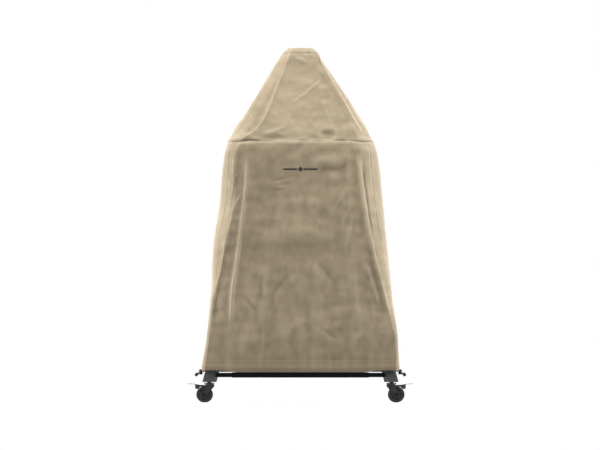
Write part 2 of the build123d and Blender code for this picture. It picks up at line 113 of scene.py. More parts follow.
class Nodes:
    """A node tree under construction, with short ways to add and join nodes."""

    def __init__(self, tree):
        self.tree = tree

    def feed(self, node, inputs):
        """Set a node's inputs to numbers or colours, or join them to other nodes' outputs."""
        for name, value in inputs.items():
            socket = node.inputs[name]
            if isinstance(value, bpy.types.NodeSocket):
                self.tree.links.new(value, socket)
            elif socket.type == "RGBA":
                socket.default_value = (*value, 1)
            else:
                socket.default_value = value

    def node(self, kind, inputs=None, **settings):
        made = self.tree.nodes.new(kind)
        for name, value in settings.items():
            setattr(made, name, value)
        self.feed(made, inputs or {})
        return made

    def axes(self, vector):
        """A vector's X, Y and Z, as three outputs."""
        return self.node("ShaderNodeSeparateXYZ", {"Vector": vector}).outputs

    def place(self, kind="Object"):
        """The place on the piece, or the direction of view in the world, as a vector output."""
        return self.node("ShaderNodeTexCoord").outputs[kind]

    def span(self, factor, start=0.0, end=1.0, low=0.0, high=1.0, kind="LINEAR"):
        """A number that goes from low to high as the factor goes from start to end."""
        inputs = {"Value": factor, "From Min": start, "From Max": end, "To Min": low, "To Max": high}
        return self.node("ShaderNodeMapRange", inputs, interpolation_type=kind).outputs["Result"]

    def math(self, operation, first, second=0.0):
        return self.node("ShaderNodeMath", {0: first, 1: second}, operation=operation).outputs[0]


class Paint(Nodes):
    """A material under construction."""

    def __init__(self, name, colour, roughness, metallic=0.0):
        self.material = bpy.data.materials.new(name)
        self.material.use_nodes = True
        super().__init__(self.material.node_tree)
        self.shader = self.tree.nodes["Principled BSDF"]
        self.shade({"Base Color": colour, "Roughness": roughness, "Metallic": metallic})
        self.bumps = None

    def shade(self, inputs):
        self.feed(self.shader, inputs)

    def noise(self, scale, detail=3.0, rough=0.55, vector=None, distortion=0.0):
        inputs = {"Scale": scale, "Detail": detail, "Roughness": rough, "Distortion": distortion}
        inputs["Vector"] = vector or self.place()
        return self.node("ShaderNodeTexNoise", inputs).outputs["Fac"]

    def between(self, factor, low, high):
        """A colour that goes from low to high over the middle of the factor's range."""
        ramp = self.node("ShaderNodeValToRGB", {"Fac": factor})
        for stop, position, colour in zip(ramp.color_ramp.elements, (0.3, 0.7), (low, high)):
            stop.position = position
            stop.color = (*colour, 1)
        return ramp.outputs["Color"]

    def mix(self, factor, first, second, blend="MIX"):
        inputs = {0: factor, 6: first, 7: second}
        return self.node("ShaderNodeMix", inputs, data_type="RGBA", blend_type=blend).outputs[2]

    def colour(self, source):
        self.shade({"Base Color": source})

    def roughness(self, factor, low, high):
        self.shade({"Roughness": self.span(factor, low=low, high=high)})

    def bump(self, height, strength, distance):
        """A bump on top of the bumps so far."""
        made = self.node("ShaderNodeBump", {"Height": height, "Strength": strength, "Distance": distance})
        if self.bumps:
            self.feed(made, {"Normal": self.bumps})
        self.bumps = made.outputs["Normal"]
        self.shade({"Normal": self.bumps})

    def sheen(self, weight, roughness):
        self.shade({"Sheen Weight": weight, "Sheen Roughness": roughness, "Sheen Tint": (1, 1, 1)})


THREAD_PITCH = 0.0014
# the colours of the painted highlight on ridges, the painted shade in creases and the painted shade
# towards the hem
RIDGE_HIGHLIGHT_COLOUR, CREASE_SHADE_COLOUR, FOOT_SHADE_COLOUR = (0.46, 0.40, 0.31), (0.12, 0.095, 0.065), (0.12, 0.092, 0.055)
# painted shade: the cloth is painted a little darker towards the hem, where less light reaches low down
FOOT_SHADE_TOP, FOOT_SHADE_BOTTOM, FOOT_SHADE_SHARE = 0.50, 0.12, 0.36


def canvas_material(name, dark, light):
    """Coated woven canvas: a plain weave and cloudy colour, with a painted highlight on ridges, painted
    shade in creases and painted shade towards the hem.
    """
    paint = Paint(name, light, 0.8)
    uv = paint.axes(paint.place("UV"))
    thread = 2 * pi / THREAD_PITCH
    warp = paint.math("SINE", paint.math("MULTIPLY", uv[0], thread))
    weft = paint.math("SINE", paint.math("MULTIPLY", uv[1], thread))
    weave = paint.math("MULTIPLY", warp, weft)
    clouds = paint.noise(4.5, 6.0, 0.62, distortion=0.6)
    slubs = paint.noise(160.0, 2.0, 0.6)
    cloth = paint.between(clouds, dark, light)
    cloth = paint.mix(0.10, cloth, paint.between(slubs, (0.25, 0.22, 0.18), (1, 1, 1)), "MULTIPLY")
    # painted highlight on ridges and painted shade in creases, by how far the cloth stands out of its
    # surroundings
    standing = paint.node("ShaderNodeAttribute", attribute_name="standing").outputs["Fac"]
    sunken = paint.math("MULTIPLY", standing, -1.0)
    painted_ridge_highlight = paint.math("MULTIPLY", paint.math("MAXIMUM", standing), 0.30)
    painted_crease_shade = paint.math("MULTIPLY", paint.math("MAXIMUM", sunken), 0.35)
    cloth = paint.mix(painted_ridge_highlight, cloth, RIDGE_HIGHLIGHT_COLOUR)
    cloth = paint.mix(painted_crease_shade, cloth, CREASE_SHADE_COLOUR)
    # painted shade, darker towards the hem
    height = paint.axes(paint.place())[2]
    painted_foot_shade = paint.span(height, FOOT_SHADE_TOP, FOOT_SHADE_BOTTOM, 0.0, FOOT_SHADE_SHARE, "SMOOTHSTEP")
    paint.colour(paint.mix(painted_foot_shade, cloth, FOOT_SHADE_COLOUR))
    paint.roughness(slubs, 0.72, 0.88)
    paint.bump(paint.noise(34.0, 4.0, 0.6, distortion=0.4), 0.35, 0.0016)
    paint.bump(slubs, 0.25, 0.0004)
    paint.bump(weave, 0.35, 0.00025)
    paint.sheen(0.70, 0.28)
    return paint.material


def thread_material(name, colour):
    """Sewing thread: twisted, a little fuzzy."""
    paint = Paint(name, colour, 0.7)
    twist = paint.noise(900.0, 2.0)
    paint.colour(paint.between(twist, tuple(0.7 * c for c in colour), colour))
    paint.bump(twist, 0.5, 0.0003)
    paint.sheen(0.3, 0.4)
    return paint.material


def powder_coat(name, dark, light, shine=0.5):
    """Powder-coated steel: fine orange peel, slightly cloudy, satin."""
    paint = Paint(name, light, 0.45)
    paint.shade({"Specular IOR Level": shine})
    paint.colour(paint.between(paint.noise(30.0, 4.0), dark, light))
    peel = paint.noise(700.0, 2.0)
    paint.roughness(paint.noise(60.0, 3.0), 0.36, 0.56)
    paint.bump(peel, 0.22, 0.0003)
    return paint.material


def moulded(name, dark, light, rough_low=0.38, rough_high=0.6):
    """Moulded plastic or rubber: fine grain and a slightly cloudy colour."""
    paint = Paint(name, light, 0.5)
    paint.colour(paint.between(paint.noise(85.0, 4.0, 0.65), dark, light))
    paint.roughness(paint.noise(140.0, 3.0), rough_low, rough_high)
    paint.bump(paint.noise(1400.0, 2.0), 0.2, 0.0002)
    return paint.material


def brushed(name, dark, light, rough_low, rough_high):
    """Metal with a brushed or plated grain along X."""
    paint = Paint(name, light, 0.3, metallic=1.0)
    mapping = paint.node("ShaderNodeMapping", {"Vector": paint.place(), "Scale": (8.0, 900.0, 900.0)})
    grain = paint.noise(1.0, 3.0, 0.6, vector=mapping.outputs[0])
    paint.colour(paint.between(paint.noise(45.0, 3.0), dark, light))
    paint.roughness(grain, rough_low, rough_high)
    paint.bump(grain, 0.12, 0.0002)
    return paint.material


# how far out from the middle of the stand the bright part of each brake lever starts
PEDAL_TREAD_START = 0.495


def pedal_material():
    """The brake lever: black moulding at the pivot and shoe, and a bright plated tread further out."""
    paint = Paint("pedal", (0.02, 0.02, 0.02), 0.4)
    out = paint.math("ABSOLUTE", paint.axes(paint.place())[0])
    tread = paint.math("GREATER_THAN", out, PEDAL_TREAD_START)
    worn = paint.between(paint.noise(60.0, 4.0), (0.50, 0.51, 0.52), (0.70, 0.71, 0.72))
    grain = paint.between(paint.noise(120.0, 3.0), (0.014, 0.014, 0.014), (0.028, 0.028, 0.028))
    paint.colour(paint.mix(tread, grain, worn))
    paint.shade({"Metallic": paint.math("MULTIPLY", tread, 0.9)})
    paint.roughness(paint.noise(300.0, 2.0), 0.32, 0.52)
    paint.bump(paint.noise(900.0, 2.0), 0.2, 0.0002)
    return paint.material


def stone_material():
    """The oven's floor: pale fired stone with open pores."""
    paint = Paint("stone", (0.55, 0.48, 0.38), 0.9)
    paint.colour(paint.between(paint.noise(18.0, 6.0, 0.7), (0.42, 0.35, 0.27), (0.62, 0.55, 0.44)))
    paint.bump(paint.noise(240.0, 4.0, 0.7), 0.5, 0.0008)
    return paint.material


BRAID_PITCH = 0.0016


def braid_material():
    """Black braided cord: two crossed sets of fine ribs."""
    paint = Paint("cord_braid", (0.012, 0.012, 0.012), 0.75)
    slanted = (radians(35), radians(35), radians(45))
    mapping = paint.node("ShaderNodeMapping", {"Vector": paint.place(), "Rotation": slanted})
    turned = paint.axes(mapping.outputs[0])
    rib = 2 * pi / BRAID_PITCH
    one = paint.math("SINE", paint.math("MULTIPLY", turned[0], rib))
    other = paint.math("SINE", paint.math("MULTIPLY", turned[1], rib))
    braid = paint.math("MAXIMUM", one, other)
    paint.colour(paint.between(braid, (0.006, 0.006, 0.006), (0.03, 0.03, 0.03)))
    paint.bump(braid, 0.6, 0.0004)
    paint.sheen(0.2, 0.5)
    return paint.material


CANVAS = canvas_material("canvas", (0.250, 0.197, 0.121), (0.335, 0.268, 0.172))
THREAD = thread_material("thread", (0.56, 0.48, 0.34))
BRAID = braid_material()
SPRING_STEEL = brushed("spring_steel", (0.48, 0.48, 0.50), (0.62, 0.62, 0.63), 0.18, 0.35)
INK = moulded("ink", (0.020, 0.020, 0.020), (0.030, 0.029, 0.028), 0.5, 0.7)

# ---------------- the drawcord's tails and locks

CORD_DIAMETER = 0.005
SPRING_WIRE, SPRING_TURNS = 0.0008, 2


def round_wire(name, kind, places, thickness, roundness, material):
    """A curve of round section along the places."""
    curve = bpy.data.curves.new(name, "CURVE")
    curve.dimensions = "3D"
    curve.bevel_depth = thickness / 2
    curve.bevel_resolution = roundness
    curve.resolution_u = 16
    curve.use_fill_caps = True
    line = curve.splines.new(kind)
    line.points.add(len(places) - 1)
    for point, place in zip(line.points, places):
        point.co = (*place, 1)
    curve.materials.append(material)
    return curve


def press_spring(side_name):
    """The wire coil under a cord lock's button, which shortens as the button is pressed."""
    low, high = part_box("lock_spring_" + side_name)
    centre = (low + high) / 2
    radius = (high.x - low.x) / 2 - SPRING_WIRE / 2
    climb = high.z - low.z - SPRING_WIRE
    places = []
    for share in np.linspace(0, 1, 24 * SPRING_TURNS + 1):
        angle = 2 * pi * SPRING_TURNS * share
        height = low.z + SPRING_WIRE / 2 + climb * share
        places.append((centre.x + radius * cos(angle), centre.y + radius * sin(angle), height))
    curve = round_wire("press_spring_" + side_name, "POLY", places, SPRING_WIRE, 3, SPRING_STEEL)
    drawn = bpy.data.objects.new("press_spring_curve_" + side_name, curve)
    spring = link("press_spring_" + side_name, bpy.data.meshes.new_from_object(drawn))
    bpy.data.objects.remove(drawn)
    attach(spring, "cover")
    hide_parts("lock_spring_" + side_name)
    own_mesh(spring)
    return spring


def tail_route(side):
    """Out of the hem, through the lock and down to the bead."""
    return [
        (side * 0.4535, 0.0, 0.1465),
        (side * 0.4810, 0.0, 0.1436),
        (side * 0.4913, 0.0, 0.1270),
    ]


for side_name, side in SIDES.items():
    route = tail_route(side)
    curve = round_wire("drawcord_tail_" + side_name, "NURBS", route, CORD_DIAMETER, 5, BRAID)
    curve.splines[0].order_u = 3
    curve.splines[0].use_endpoint_u = True
    tail = link("cord_tail_" + side_name, curve)
    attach(tail, "cover")
    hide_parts("drawcord_tail_" + side_name)
    fittings = [nodes[part + "_" + side_name] for part in ("cord_end", "lock_barrel", "lock_plunger")]
    fittings.append(press_spring(side_name))

# ---------------- the cover's form

(_, _, hem_low), (hem_half_width, hem_half_depth, stitch_height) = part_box("hem_band")
seam_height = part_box("skirt_front")[1].z
cap_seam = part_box("cap_band")[0].z
cover_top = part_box("cap_top")[1].z
seam_half_width, seam_half_depth = 0.341, 0.3035
cap_half_width, cap_half_depth = 0.088, 0.082
# how far the left and right front corners reach in along the front
seam_turn_left, seam_turn_right = 0.062, 0.074
cap_turn_left, cap_turn_right = 0.044, 0.040
# how much further a corner reaches along the sides than along the front
SKIRT_DEEPER, CAP_DEEPER = 1.3, 0.7
CORNER_SHAPE = 1.5  # 2 is a round corner and 1 is a flat chamfer


def smooth_through(points):
    """A smooth function of height through a few (height, value) points."""
    heights, values = np.array(points, float).T
    slopes = np.gradient(values, heights)

    def value_at(height):
        height = np.clip(np.asarray(height, float), heights[0], heights[-1])
        i = np.clip(np.searchsorted(heights, height) - 1, 0, len(heights) - 2)
        span = heights[i + 1] - heights[i]
        t = (height - heights[i]) / span
        return (
            (2 * t**3 - 3 * t**2 + 1) * values[i]
            + (t**3 - 2 * t**2 + t) * span * slopes[i]
            + (3 * t**2 - 2 * t**3) * values[i + 1]
            + (t**3 - t**2) * span * slopes[i + 1]
        )

    return value_at


# the noise's cells are turned, so that no row of them lines up with the cloth
NOISE_TURN = np.array(Matrix.Rotation(radians(38), 3, Vector((2, 3, 4)).normalized()))
# arbitrary uneven numbers that scramble a cell's place, so that its slopes look random
CELL_STEPS, SEED_STEP, SLOPE_STEPS, SCRAMBLE = (127.1, 311.7, 74.7), 53.9, (0.0, 1.7, 3.1), 43758.5453
NOISE_HEIGHT = 1.6  # brings the noise to about -1 to 1


def soft_noise(places, seed):
    """Smooth noise from about -1 to 1 at each place, with features one unit across."""
    places = places @ NOISE_TURN
    cell = np.floor(places)
    part = places - cell
    ease = part**3 * (part * (part * 6 - 15) + 10)
    total = np.zeros(places.shape[:-1])
    for corner in product((0, 1), repeat=3):
        corner = np.array(corner)
        key = ((cell + corner) * CELL_STEPS).sum(axis=-1) + SEED_STEP * seed
        slopes = [np.modf(np.abs(np.sin(key + k) * SCRAMBLE))[0] * 2 - 1 for k in SLOPE_STEPS]
        weight = np.prod(np.where(corner, ease, 1 - ease), axis=-1)
        away = part - corner
        total += weight * sum(slope * away[..., k] for k, slope in enumerate(slopes))
    return NOISE_HEIGHT * total


def gone_along(places, axis):
    """The distance gone at each place, from the first one along an axis of the grid."""
    step = np.linalg.norm(np.diff(places, axis=axis), axis=-1)
    return np.insert(np.cumsum(step, axis=axis), 0, 0, axis=axis)


def grid_faces(rows, columns):
    """The four-sided faces between a grid's places, which are numbered row by row."""
    index = np.arange(rows * columns).reshape(rows, columns)
    faces = np.stack([index[:-1, :-1], index[:-1, 1:], index[1:, 1:], index[1:, :-1]], axis=-1)
    return faces.reshape(-1, 4).tolist()


class Form:
    """A band's outline at every height: half widths, half depth, and how far each corner reaches in."""

    def __init__(self, left, right, depth, turn_left, turn_right, deeper):
        self.width = {"left": smooth_through(left), "right": smooth_through(right)}
        self.depth = smooth_through(depth)
        # a back corner is a copy of the front corner that is diagonally opposite
        left, right = smooth_through(turn_left), smooth_through(turn_right)
        self.turn = {"front_left": left, "front_right": right, "back_left": right, "back_right": left}
        self.deeper = smooth_through(deeper)


skirt_form = Form(
    left=[
        (hem_low, hem_half_width), (0.21, 0.4535), (0.27, 0.4425), (0.36, 0.4320), (0.42, 0.4240),
        (0.55, 0.4100), (0.64, 0.4080), (0.77, 0.3990), (0.92, 0.3760), (1.07, 0.3625), (1.15, 0.3580),
        (1.19, 0.3520), (seam_height, seam_half_width),
    ],
    right=[
        (hem_low, hem_half_width + 0.001), (0.21, 0.4610), (0.25, 0.4585), (0.32, 0.4540), (0.40, 0.4425),
        (0.46, 0.4320), (0.74, 0.4040), (0.93, 0.3845), (1.116, 0.3675), (1.175, 0.3590),
        (1.21, 0.3480), (seam_height, seam_half_width),
    ],
    depth=[
        (hem_low, hem_half_depth), (0.22, 0.3562), (0.32, 0.3555), (0.42, 0.3520), (0.50, 0.3480),
        (0.60, 0.3445), (0.69, 0.3425), (0.76, 0.3405), (0.84, 0.3345), (0.95, 0.3245), (1.02, 0.3215),
        (1.15, 0.3215), (1.20, 0.3195), (1.218, 0.3140), (seam_height, seam_half_depth),
    ],
    turn_left=[
        (hem_low, 0.015), (0.45, 0.016), (0.62, 0.038), (0.80, 0.056), (1.10, 0.063),
        (seam_height, seam_turn_left),
    ],
    turn_right=[
        (hem_low, 0.016), (0.36, 0.016), (0.58, 0.044), (0.80, 0.068), (1.10, 0.088),
        (seam_height, seam_turn_right),
    ],
    deeper=[(hem_low, SKIRT_DEEPER), (seam_height, SKIRT_DEEPER)],
)
hood_form = Form(
    left=[
        (seam_height, seam_half_width), (1.262, 0.3210), (1.34, 0.2670), (1.41, 0.2265), (1.52, 0.1570),
        (1.59, 0.1115), (cap_seam, cap_half_width),
    ],
    right=[
        (seam_height, seam_half_width), (1.262, 0.3225), (1.34, 0.2740), (1.45, 0.2090), (1.525, 0.1560),
        (1.59, 0.1080), (cap_seam, cap_half_width),
    ],
    depth=[(seam_height, seam_half_depth), (cap_seam, cap_half_depth)],
    turn_left=[(seam_height, seam_turn_left), (1.27, 0.064), (cap_seam, cap_turn_left)],
    turn_right=[(seam_height, seam_turn_right), (1.40, 0.050), (cap_seam, cap_turn_right)],
    deeper=[(seam_height, SKIRT_DEEPER), (1.31, 0.8), (cap_seam, CAP_DEEPER)],
)

# the grid's columns go round from the middle of the back: left, front, right and back again
STRETCHES = [
    ("back_left", 64),
    ("corner_back_left", 36),
    ("left", 100),
    ("corner_front_left", 36),
    ("front", 140),
    ("corner_front_right", 36),
    ("right", 100),
    ("corner_back_right", 36),
    ("back_right", 64),
]
COLUMNS = [(name, step / count) for name, count in STRETCHES for step in range(count)]
NAMES = [name for name, _ in COLUMNS]


def share_of_front(name, share):
    """1 on the front and 0 elsewhere, easing over between them round the front corners."""
    if name == "corner_front_right":
        share = 1 - share
    elif name != "corner_front_left":
        share = float(name == "front")
    return share**2 * (3 - 2 * share)


FRONT_SHARE = np.array([share_of_front(name, share) for name, share in COLUMNS])


def column_at(name, share):
    """The number of the column at a share of the way along a stretch."""
    return NAMES.index(name) + round(share * NAMES.count(name))


def outline(form, heights, column):
    """One column's x and y at all the heights."""
    name, share = column
    half_depth = form.depth(heights)
    if name.startswith("corner_"):
        end, side = name.split("_")[1:]
        across = form.turn[end + "_" + side](heights)
        along = across * form.deeper(heights)
        angle = share * pi / 2
        if name in ("corner_back_left", "corner_front_right"):
            angle = pi / 2 - angle
        x = form.width[side](heights) - across + across * abs(cos(angle)) ** (2 / CORNER_SHAPE)
        y = half_depth - along + along * abs(sin(angle)) ** (2 / CORNER_SHAPE)
        return SIDES[side] * x, ENDS[end] * y
    if name in SIDES:
        front = half_depth - form.turn["front_" + name](heights) * form.deeper(heights)
        back = half_depth - form.turn["back_" + name](heights) * form.deeper(heights)
        start, stop = (back, -front) if name == "left" else (-front, back)
        return SIDES[name] * form.width[name](heights), start + share * (stop - start)
    if name == "front":
        start = form.turn["front_left"](heights) - form.width["left"](heights)
        stop = form.width["right"](heights) - form.turn["front_right"](heights)
        return start + share * (stop - start), -half_depth
    if name == "back_left":
        return share * (form.turn["back_left"](heights) - form.width["left"](heights)), half_depth
    return (1 - share) * (form.width["right"](heights) - form.turn["back_right"](heights)), half_depth


def wall(form, heights):
    """The places of a grid that follows the form: rows up, columns round."""
    flat = np.array([np.broadcast_arrays(*outline(form, heights, column)) for column in COLUMNS])
    upright = np.repeat(heights[:, None], len(COLUMNS), 1)
    return np.stack([flat[:, 0].T, flat[:, 1].T, upright], axis=2)


CLOTH_THICKNESS = 0.0012
# the drawn folds wander from their paths, as in real cloth: how far, over what distance
BROAD_WANDER, FINE_WANDER = (0.0045, 0.16), (0.0012, 0.04)
FACET_FADE = 0.1  # the height over which a turned part of the front starts
SIDE_RIPPLE = 0.4  # the sides' share of the wrinkles: they hang straighter than the front and the back
# a ridge counts as full when it stands this far out of its surroundings, found by smoothing; this scales
# the canvas's painted highlight on ridges and painted shade in creases
CREASE_DEPTH, SMOOTHING_PASSES = 0.0012, 10


class Cloth:
    """A band of cloth round the cover: a grid of places that folds move in and out."""

    def __init__(self, place):
        self.place = place
        self.move = np.zeros(place.shape[:2])
        self.measure()

    def measure(self):
        """Work out the outward direction, and the distance round from the middle of each face."""
        ahead = np.roll(self.place, -1, axis=1) - np.roll(self.place, 1, axis=1)
        outward = np.cross(ahead, np.gradient(self.place, axis=0))
        self.outward = outward / np.linalg.norm(outward, axis=2, keepdims=True)
        step = np.linalg.norm(np.roll(self.place, -1, axis=1) - self.place, axis=2)
        gone = np.cumsum(step, axis=1) - step
        girth = step.sum(axis=1, keepdims=True)
        self.around = {
            face: gone - gone[:, [column_at(face, 0.5)]] for face in ("front", "left", "right")
        }
        self.around["back"] = np.where(gone > girth / 2, gone - girth, gone)
        self.height = self.place[:, :, 2].copy()
        (broad, broad_reach), (fine, fine_reach) = BROAD_WANDER, FINE_WANDER
        self.wander = [
            broad * soft_noise(self.place / broad_reach, seed)
            + fine * soft_noise(self.place / fine_reach, seed)
            for seed in (31, 32)
        ]

    def surface(self):
        return self.place + self.outward * self.move[:, :, None]

    def fold(self, face, path, width, height, sharp=1.5, lean=0.0, fade=0.25):
        """Raise a ridge along the path, or sink a crease if the height is negative.

        The path is a list of (distance round from the face's middle, height above the floor). The
        width is the fold's reach to each side, and a positive lean widens the side left of the path.
        """
        s, z = self.around[face] + self.wander[0], self.height + self.wander[1]
        spans = [(a, b, float(np.hypot(b[0] - a[0], b[1] - a[1]))) for a, b in zip(path, path[1:])]
        total = sum(length for _, _, length in spans)
        nearest = np.full(s.shape, np.inf)
        side, share = np.zeros(s.shape), np.zeros(s.shape)
        gone = 0.0
        for a, b, length in spans:
            step_s, step_z = (b[0] - a[0]) / length, (b[1] - a[1]) / length
            t = np.clip((s - a[0]) * step_s + (z - a[1]) * step_z, 0, length)
            off_s, off_z = s - a[0] - t * step_s, z - a[1] - t * step_z
            gap = np.hypot(off_s, off_z)
            nearer = gap < nearest
            nearest = np.where(nearer, gap, nearest)
            side = np.where(nearer, np.sign(step_s * off_z - step_z * off_s), side)
            share = np.where(nearer, (gone + t) / total, share)
            gone += length
        end = np.clip(np.minimum(share, 1 - share) / fade, 0, 1)
        taper = end * end * (3 - 2 * end)
        self.move += height * taper * np.exp(-((nearest / (width * (1 + lean * side))) ** sharp))

    def front_facet(self, side, edge, span, depth):
        """Turn the front away beyond an edge, given as (distance round, height) from low to high."""
        heights, places = np.array([(z, s) for s, z in edge]).T
        beyond = SIDES[side] * (self.around["front"] - np.interp(self.height, heights, places)) / span
        beyond = np.clip(beyond, 0, 1) * np.clip((self.height - heights[0]) / FACET_FADE, 0, 1)
        self.move -= depth * beyond * FRONT_SHARE

    def swell(self, face, centre, reach, height):
        """Push a soft oval out, or in if the height is negative."""
        s = (self.around[face] + self.wander[0] - centre[0]) / reach[0]
        z = (self.height + self.wander[1] - centre[1]) / reach[1]
        self.move += height * np.exp(-(s**2 + z**2))

    def ripple(self, size, height, seed, near=None, reach=None):
        """Uneven wrinkles of a size (across, up), only around a height if one is given."""
        wave = soft_noise(self.place / np.array([size[0], size[0], size[1]]), seed)
        if near is not None:
            wave = wave * np.exp(-(((self.height - near) / reach) ** 2))
        self.move += height * wave * (SIDE_RIPPLE + (1 - SIDE_RIPPLE) * np.abs(self.outward[:, :, 1]))

    def groove(self, height, width, depth):
        """A level groove all round, as a line of stitching pulls it."""
        self.move -= depth * np.exp(-(((self.height - height) / width) ** 2))

    def join_to(self, row, target, reach):
        """Bring the grid's first or last row to the neighbour's move, fading over a height."""
        gap = target - self.move[row]
        self.move += gap * np.exp(-(((self.height - self.height[row]) / reach) ** 2))

    def standing(self):
        """How far each place stands out of its surroundings, from -1 in a crease to 1 on a ridge, for the
        canvas's painted highlight and painted shade.
        """
        smooth = self.move
        for _ in range(SMOOTHING_PASSES):
            up = np.vstack([smooth[1:], smooth[-1:]])
            down = np.vstack([smooth[:1], smooth[:-1]])
            smooth = (np.roll(smooth, 1, 1) + np.roll(smooth, -1, 1) + up + down) / 4
        return np.clip((self.move - smooth) / CREASE_DEPTH, -1, 1)

    def panel(self, name, first, last, replaced):
        """One sewn panel of the band, between two columns, as a thin walled sheet."""
        picked = np.arange(first, last + 1) % len(COLUMNS)
        rows, width = self.move.shape[0], len(picked)
        places = self.surface()[:, picked].reshape(-1, 3).tolist()
        made = smooth_mesh(name, places, grid_faces(rows, width), CANVAS)
        mesh = made.data
        across, along = gone_along(self.place[:, picked], 1), gone_along(self.place[:, picked], 0)
        uv = np.stack([across - across[:, [width // 2]], along], axis=-1).reshape(-1, 2)
        corners = np.empty(len(mesh.loops), np.int32)
        mesh.loops.foreach_get("vertex_index", corners)
        mesh.uv_layers.new(name="cloth").data.foreach_set("uv", uv[corners].astype(np.float32).ravel())
        # for the canvas's painted highlight on ridges and painted shade in creases
        standing = self.standing()[:, picked].astype(np.float32).ravel()
        mesh.attributes.new("standing", "FLOAT", "POINT").data.foreach_set("value", standing)
        mesh.update()
        thickness = made.modifiers.new("cloth", "SOLIDIFY")
        thickness.thickness = CLOTH_THICKNESS
        thickness.offset = -1
        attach(made, "cover")
        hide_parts(*replaced)


# a seam runs up the middle of each corner, so each panel reaches from one to the next
SEAMS = {name: column_at("corner_" + name, 0.5) for name in CORNERS}
PANELS = {
    "front": (SEAMS["front_left"], SEAMS["front_right"]),
    "right": (SEAMS["front_right"], SEAMS["back_right"]),
    "back": (SEAMS["back_right"], SEAMS["back_left"] + len(COLUMNS)),
    "left": (SEAMS["back_left"], SEAMS["front_left"]),
}


SEAM_DEPTH = 0.0007


def sew_corners(cloth):
    """Sink a narrow line where the panels meet at each corner."""
    for seam in SEAMS.values():
        cloth.move[:, seam] -= SEAM_DEPTH
        for near in (-1, 1):
            cloth.move[:, seam + near] -= 0.4 * SEAM_DEPTH


rng = np.random.default_rng(7)

# ---------------- the skirt

skirt_rows, hem_overlap = 228, 0.010
HEM_ROWS = 4  # the skirt's rows that the hem is laid over
skirt = Cloth(wall(skirt_form, np.linspace(stitch_height - hem_overlap, seam_height, skirt_rows)))

# broad unevenness, then finer
skirt.ripple((0.20, 0.28), 0.0050, 1)
skirt.ripple((0.060, 0.120), 0.0040, 2)
skirt.ripple((0.095, 0.050), 0.0028, 4)
skirt.ripple((0.030, 0.040), 0.0010, 3)

# the sharp fold on the left, beyond which the cloth turns away to the corner
sharp_fold = [(-0.338, 0.33), (-0.320, 0.50), (-0.293, 0.70), (-0.274, 0.81), (-0.260, 0.93),
              (-0.248, 1.04), (-0.240, 1.15)]
skirt.front_facet("left", sharp_fold, 0.070, 0.013)
skirt.fold("front", sharp_fold, 0.014, 0.0100, sharp=1.1, lean=-0.4, fade=0.12)
# and on the right it turns away more softly
soft_edge = [(0.272, 0.33), (0.262, 0.50), (0.248, 0.70), (0.236, 0.93), (0.232, 1.10)]
skirt.front_facet("right", soft_edge, 0.085, 0.012)
# the other folds of the front: their path, width, height, sharpness and fade
for path, width, height, sharp, fade in [
    # the long ridges where the front turns to the sides
    ([(-0.303, 1.21), (-0.312, 1.04), (-0.326, 0.93), (-0.372, 0.64), (-0.415, 0.48), (-0.435, 0.32)],
     0.013, 0.0050, 1.2, 0.1),
    ([(0.272, 1.20), (0.284, 1.05), (0.298, 0.92), (0.335, 0.74), (0.374, 0.58), (0.425, 0.36)],
     0.014, 0.0070, 1.2, 0.1),
    # short folds between the left ridge and the sharp fold
    ([(-0.274, 0.79), (-0.297, 0.66), (-0.318, 0.52), (-0.334, 0.38)], 0.008, 0.0050, 1.2, 0.25),
    ([(-0.262, 1.00), (-0.300, 0.93), (-0.336, 0.785), (-0.364, 0.67)], 0.013, 0.0055, 1.2, 0.25),
    # the narrow crease inside the right corner, and the short folds below it
    ([(0.300, 1.16), (0.318, 0.98), (0.328, 0.90), (0.354, 0.75)], 0.009, -0.0065, 1.2, 0.25),
    ([(0.318, 0.66), (0.340, 0.56), (0.372, 0.44)], 0.012, 0.0050, 1.3, 0.25),
    ([(0.352, 0.70), (0.385, 0.56), (0.415, 0.42)], 0.012, 0.0045, 1.3, 0.25),
    # the shaded edge of the soft bulge beside the mark
    ([(0.100, 1.102), (0.165, 1.090), (0.212, 1.104), (0.242, 1.150)], 0.018, -0.0035, 1.5, 0.25),
    # the creases and low folds between the bellies
    ([(-0.030, 0.610), (-0.085, 0.565), (-0.130, 0.505), (-0.150, 0.430)], 0.020, -0.0042, 1.5, 0.5),
    ([(-0.172, 0.640), (-0.186, 0.540), (-0.192, 0.440)], 0.013, -0.0030, 1.5, 0.5),
    ([(-0.275, 0.500), (-0.228, 0.448), (-0.190, 0.410)], 0.014, -0.0036, 1.5, 0.5),
    ([(0.060, 0.670), (0.128, 0.610), (0.165, 0.550), (0.165, 0.460)], 0.022, -0.0045, 1.5, 0.5),
    ([(0.060, 0.375), (0.120, 0.325), (0.195, 0.275)], 0.012, -0.0030, 1.5, 0.5),
    ([(0.080, 0.345), (0.135, 0.305), (0.190, 0.270)], 0.010, 0.0024, 1.5, 0.5),
    ([(-0.184, 0.420), (-0.183, 0.300), (-0.186, 0.150)], 0.010, 0.0018, 1.5, 0.3),
    ([(0.020, 0.400), (-0.070, 0.330), (-0.110, 0.240)], 0.030, 0.0040, 1.5, 0.5),
    ([(0.300, 0.360), (0.250, 0.300), (0.225, 0.230)], 0.022, 0.0040, 1.5, 0.5),
]:
    skirt.fold("front", path, width, height, sharp=sharp, fade=fade)
# short level puckers under the mark
for left, right, height in [(-0.155, -0.020, 1.047), (-0.135, -0.005, 1.024), (-0.150, -0.045, 0.998)]:
    pucker = [(left, height - 0.010), (0.5 * (left + right), height - 0.003), (right, height + 0.008)]
    skirt.fold("front", pucker, 0.008, -0.0020, fade=0.5)
